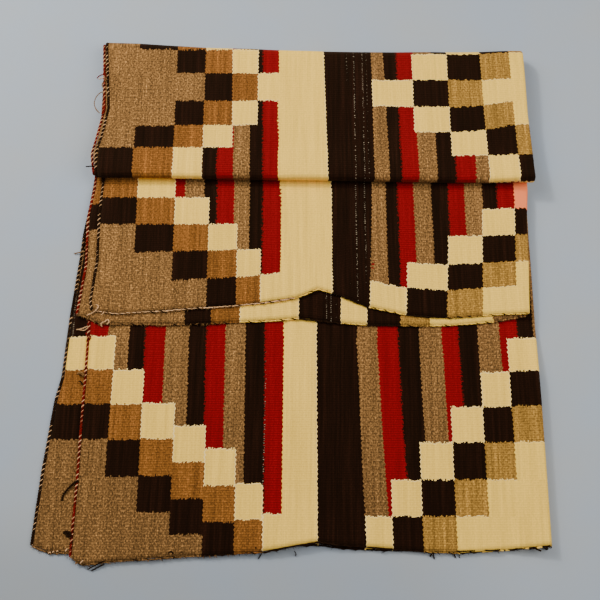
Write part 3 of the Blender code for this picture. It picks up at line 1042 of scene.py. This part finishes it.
class BLANKET_OT_side_cords(bpy.types.Operator):
    """Ply the cords of the two weft edges"""

    bl_idname = "blanket.side_cords"
    bl_label = "Side cords"

    def execute(self, context):
        middle, x, distance, half = folded_sheet()
        made = finishes()
        front = np.array((0, -1.0, 0))
        turn = context.scene.blanket_sizes.side_cord_turn
        for name, node, slot, edge in (
            ("plied_side_cord_near", "side_cord_near", "dark_plied_wool", 0),
            ("plied_side_cord_middle", "side_cord_middle", "white_plied_wool", -1),
        ):
            line, outward, upward = cord_line(middle[edge], front, SIDE_CORD_OUTSET)
            charted = chart(x[edge], distance[edge], half[edge])
            extra = np.concatenate([*charted.values()], axis=-1)
            # The hem is a little ragged
            sway = 0.7 * MM * (uneven(line[:, 0] / 3, 2.0) + 0.7 * uneven(line[:, 0] / 1.3, 5.0))
            line = line + outward * sway[:, None]
            points, faces, of_strand, read = twined_strands(
                line, outward, upward, SIDE_STRANDS, turn, extra, 12
            )
            ends = np.cumsum([value.shape[-1] for value in charted.values()])[:-1]
            values = dict(zip(charted, np.split(read, ends, axis=1)))
            # The cord is white along the left half of the first half's middle hem
            place = np.array([face[0] for face in faces])
            is_white = (read[place, 3] < 0.5) & (points[place, 0] < 0.0) & (edge == -1)
            is_dark = of_strand == 2
            for start, end in DARK_STRETCHES if edge == 0 else ():
                is_dark |= (points[place, 0] > start * MM) & (points[place, 0] < end * MM)
            finish_of = np.where(is_dark, 1, np.where(is_white, 0, 2))
            yarns = [made[yarn] for yarn in ("white", "dark", "tapestry")]
            cord = new_piece(name, points, faces, yarns, finish_of, values)
            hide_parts(node)
            for seed, (yarn, count, reach) in enumerate((("dark", 170, 1.0), ("fawn", 150, -0.08))):
                hair = hem_hair(line, outward, count, reach, seed + 2 * edge)
                new_piece(f"hem_hair_{yarn}_{name[16:]}", *hair, [made[yarn]])
        return {"FINISHED"}


# Yarn ends that stand for a solid of their own: piece, node, slot, yarn, and points on the plan
# in mm
LOOSE_ENDS = (
    ("yarn_end_near", "loose_end_near", "dark_plied_wool", "dark",
     ((-267.5, -373.5, 6.2), (-275.7, -377, 5.6), (-283.1, -381, 4.8), (-290.9, -384.8, 1.2))),
    # Painted shadow: a thin dark yarn laid along the cast shadow of the near yarn end on the floor
    ("yarn_end_near_short", "loose_end_near_short", "dark_plied_wool", "dark",
     ((-268, -378, 3.4), (-276.9, -382, 2.0), (-285.7, -386.6, 1.1))),
    ("yarn_end_middle", "loose_end_middle", "white_plied_wool", "white",
     ((-302.2, -10.7, 13.4), (-298.3, -13.8, 13.4), (-301.1, -18.6, 13), (-305.8, -22.3, 11.6),
      (-315.4, -27.2, 11))),
)

# Small tufts, snags and ends of yarn along the edges: slot, yarn, then for each its radius and its
# points on the plan, in mm
TUFTS = {
    "yarn_tufts_dark": ("dark_plied_wool", "dark", (
        (1.1, (-317.4, 207, 26.4), (-323.5, 206.9, 25.5), (-330.3, 207.4, 23)),
        (1.7, (-311.6, -265.8, 7), (-318.8, -270.5, 5), (-326.9, -278.7, 3.6),
         (-331.4, -285.5, 3.2), (-333.2, -293, 3)),
        (2.2, (-326.8, -336.4, 3.8), (-322.3, -335.4, 4.4), (-316.1, -337.8, 5),
         (-317.6, -341, 4.6), (-322.8, -339.4, 4)),
        (1.0, (-175.7, -360.9, 6.2), (-179.8, -362.4, 5.5), (-180.8, -369.3, 2)),
        (0.9, (-175.7, -361.4, 6.2), (-171.9, -364.9, 4.5), (-166.2, -364.3, 4.5),
         (-161.3, -361.4, 6)),
        (0.9, (-176.2, -361.1, 6.2), (-174.2, -365.9, 4), (-173.8, -370.7, 1)),
        (1.0, (-60.1, -355, 9), (-62.3, -359.5, 6), (-64.9, -364, 3)),
        (0.8, (-52, -362.7, 3.4), (-54.2, -366.4, 1.6), (-57.2, -370.7, 0.8)),
        (1.0, (183.5, -361.9, 5.4), (181.5, -364.3, 3), (178.9, -367.8, 1)),
        (1.0, (183.2, -361.9, 5.4), (183.7, -366.4, 2.5), (184.6, -371.2, 0.9)),
        (1.0, (210.1, -361.4, 5.4), (212.3, -365.1, 3), (214.1, -369.6, 0.9)),
        (0.7, (217.1, -359.3, 5.6), (218.6, -364.6, 3), (219.6, -369.6, 0.9)),
        (0.8, (-7.6, -360.6, 6), (-5.5, -364.3, 3.5), (-6.1, -367.2, 1)),
        (1.2, (-321, -124, 5.6), (-317.5, -126, 6.4), (-315.5, -130, 6.2)),
        (1.6, (-323.4, 104.5, 5), (-328.5, 100.6, 4.4), (-328.9, 94.4, 3.6), (-324.3, 91.7, 4)),
        (1.6, (-324.5, 89.4, 4), (-330.2, 86.3, 3.6), (-330.1, 80, 3.2), (-325, 77.3, 3.6)),
        (1.0, (216.1, -360.9, 6.8), (227.8, -360.6, 6.8), (240.2, -360.1, 6.8)),
        (1.1, (253.9, -359.7, 7), (263.5, -360.1, 7), (274.5, -359, 7.2)),
        (1.1, (295, -357.7, 8.5), (301.8, -357.8, 8.8), (308.6, -357.2, 9.2)),
        (1.4, (313.3, -356.9, 10), (320.7, -356.6, 11), (325.9, -359, 11), (329.9, -360, 10)),
        (1.5, (336.8, -357.5, 3), (339.6, -357.9, 2.6), (341.9, -357.7, 2)),
    )),
    "yarn_tufts_white": ("white_plied_wool", "white", (
        (0.9, (-310.9, 363.9, 23), (-317, 362.6, 21), (-322, 363, 18)),
        (0.9, (-313, -41.3, 4.2), (-318.6, -43.3, 3.6), (-323.3, -45.2, 3.3), (-331.2, -46.9, 3.2)),
        (0.7, (-314.1, -43.9, 3.6), (-319.1, -47.7, 3.3), (-324.3, -47.2, 3.3),
         (-328.1, -46.4, 3.2)),
        (1.2, (-292.9, -42.7, 6.6), (-293.4, -39.2, 9.6), (-288, -35.8, 10), (-283.8, -33.1, 10),
         (-282.1, -36.7, 10), (-284.9, -40.3, 9.6)),
        (0.8, (-288.9, -22.1, 13.6), (-291, -24.4, 13.2), (-293.7, -26.7, 12.6)),
        (1.0, (-346.2, -363.3, 2.6), (-342.9, -362.2, 3)),
        (1.0, (-340.7, -362.1, 2.8), (-338.3, -361.1, 3)),
        (1.0, (-335, -361.3, 2.8), (-332.8, -360.4, 3)),
        (1.1, (-323.1, -361.1, 3), (-320, -357.2, 3.4)),
        (1.1, (-300.5, -376.6, 5.2), (-297, -372.9, 6)),
    )),
    "yarn_tufts_red": ("red_twined_wool", "red", (
        (1.0, (-311.5, 368.3, 23), (-319, 367.7, 21.5), (-325.2, 364.6, 18)),
        (1.3, (-307.5, 385.6, 24.5), (-312.5, 379.9, 23.5), (-312.3, 372.7, 23.5),
         (-308.6, 363.3, 24)),
        (1.0, (-310, -55.3, 6.3), (-308.7, -59.2, 5.8), (-311.3, -65.9, 5)),
    )),
    "yarn_tufts_fawn": ("tapestry_wool", "fawn", (
        (0.9, (-311.6, 339.1, 21), (-318.7, 335.8, 20.5), (-324.4, 328.7, 19), (-326.5, 319.2, 17),
         (-322.8, 309.1, 17.5), (-316.8, 302.1, 19)),
        (1.1, (-308.6, 358.8, 22.5), (-314.8, 353.4, 21), (-313.7, 346.3, 21),
         (-306.7, 341.8, 22.5)),
        (1.0, (-326.6, 75.5, 4), (-334.4, 74.6, 3), (-343.9, 73.2, 1.4)),
        (2.0, (-323.5, -113.5, 6), (-318, -112.5, 7.6), (-314, -116.5, 8)),
    )),
}


def eased(points, count):
    """An even line through a few points, by cubic pieces that take their slopes from their
    neighbours."""
    points = np.array(points, float)
    slopes = np.gradient(points, axis=0)
    at = np.linspace(0, len(points) - 1, count)
    low = np.minimum(at.astype(int), len(points) - 2)
    t = (at - low)[:, None]
    a, b, sa, sb = points[low], points[low + 1], slopes[low], slopes[low + 1]
    return (
        (2 * t**3 - 3 * t**2 + 1) * a + (t**3 - 2 * t**2 + t) * sa
        + (3 * t**2 - 2 * t**3) * b + (t**3 - t**2) * sb
    )


def loose_yarn(points, radius):
    """A loose two-ply yarn through a few points: two strands wound round its line. Gives its points
    and faces."""
    line = eased(np.array(points) * MM + PLAN_SHIFT, 12 * len(points))
    along = unit(np.gradient(line, axis=0))
    sideways = unit(np.cross(along, (0.0, 0.0, 1.0)))
    ply = 0.52 * radius / MM
    strands = ("yarn", 0.0, ply, ply, ply, 0.3), ("yarn", 0.5, ply, ply, ply, 0.3)
    return twined_strands(line, sideways, np.cross(sideways, along), strands, 6 * MM)[:2]


class BLANKET_OT_loose_yarn(bpy.types.Operator):
    """Lay the loose yarn ends and tufts"""

    bl_idname = "blanket.loose_yarn"
    bl_label = "Loose yarn"

    def execute(self, context):
        made = finishes()
        radius = context.scene.blanket_sizes.yarn_radius
        for name, node, slot, yarn, points in LOOSE_ENDS:
            end = new_piece(name, *loose_yarn(points, radius), [made[yarn]])
            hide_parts(node)
        for name, (slot, yarn, tufts) in TUFTS.items():
            tuft = joined([loose_yarn(points, size * MM) for size, *points in tufts])
            new_piece(name, *tuft, [made[yarn]])
        return {"FINISHED"}


class BLANKET_OT_stage(bpy.types.Operator):
    """Set the floor, the soft light and the camera"""

    bl_idname = "blanket.stage"
    bl_label = "Stage"

    def execute(self, context):
        scene = context.scene
        reach = scene.blanket_sizes.floor_width / 2
        mesh = bpy.data.meshes.new("floor")
        corners = [(-reach, -reach, 0), (reach, -reach, 0), (reach, reach, 0), (-reach, reach, 0)]
        mesh.from_pydata(corners, [], [(0, 1, 2, 3)])
        backdrop = plain_backdrop("cotton, plain woven backdrop", scene.blanket_colours.floor)
        mesh.materials.append(backdrop)
        floor = bpy.data.objects.new("floor", mesh)
        scene.collection.objects.link(floor)

        world = bpy.data.worlds.new("soft room light")
        scene.world = world
        world.use_nodes = True
        sky = world.node_tree.nodes["Background"]
        sky.inputs["Color"].default_value = (*linear("F2F4F8"), 1)
        sky.inputs["Strength"].default_value = 0.25

        for name, place, size, power in (
            ("window light", (-1.5, 1.4, 1.75), 0.3, 38),
            ("room light, left", (-0.9, 0.8, 1.2), 1.2, 22),
            ("room light, right", (1.25, 0.0, 1.3), 1.4, 26),
        ):
            lamp = bpy.data.lights.new(name, "AREA")
            lamp.shape = "SQUARE"
            lamp.size = size
            lamp.energy = power
            light = bpy.data.objects.new(name, lamp)
            light.location = place
            away = unit(place)
            light.rotation_euler = (
                np.arccos(away[2]), 0, np.arctan2(away[1], away[0]) + np.pi / 2
            )
            scene.collection.objects.link(light)

        lens = bpy.data.cameras.new("camera")
        lens.lens, lens.sensor_width = 50, 36
        lens.clip_start, lens.clip_end = 0.05, 20
        camera = bpy.data.objects.new("camera", lens)
        tilt = np.radians(CAMERA_TILT)
        camera.location = PLAN_SHIFT + CAMERA_DISTANCE * np.array((0, -np.sin(tilt), np.cos(tilt)))
        camera.rotation_euler = (tilt, 0, 0)
        scene.collection.objects.link(camera)
        scene.camera = camera
        return {"FINISHED"}


class BLANKET_PT_pieces(bpy.types.Panel):
    """The blanket's pieces, sizes and colours"""

    bl_idname = "BLANKET_PT_pieces"
    bl_label = "Folded blanket"
    bl_space_type = "VIEW_3D"
    bl_region_type = "UI"
    bl_category = "Blanket"

    def draw(self, context):
        for step in STEPS:
            self.layout.operator(step.bl_idname)
        for group in (context.scene.blanket_sizes, context.scene.blanket_colours):
            for key in group.bl_rna.properties.keys():
                if key not in ("rna_type", "name"):
                    self.layout.prop(group, key)


STEPS = (
    BLANKET_OT_stage,
    BLANKET_OT_cloth,
    BLANKET_OT_end_cords,
    BLANKET_OT_side_cords,
    BLANKET_OT_loose_yarn,
)
CLASSES = (BlanketSizes, BlanketColours, *STEPS, BLANKET_PT_pieces)


def register():
    for each in CLASSES:
        bpy.utils.register_class(each)
    bpy.types.Scene.blanket_sizes = bpy.props.PointerProperty(type=BlanketSizes)
    bpy.types.Scene.blanket_colours = bpy.props.PointerProperty(type=BlanketColours)


def unregister():
    del bpy.types.Scene.blanket_colours
    del bpy.types.Scene.blanket_sizes
    for each in reversed(CLASSES):
        bpy.utils.unregister_class(each)


def main():
    register()
    bpy.ops.blanket.stage()
    bpy.ops.blanket.cloth()
    bpy.ops.blanket.end_cords()
    bpy.ops.blanket.side_cords()
    bpy.ops.blanket.loose_yarn()


if __name__ == "__main__":
    main()
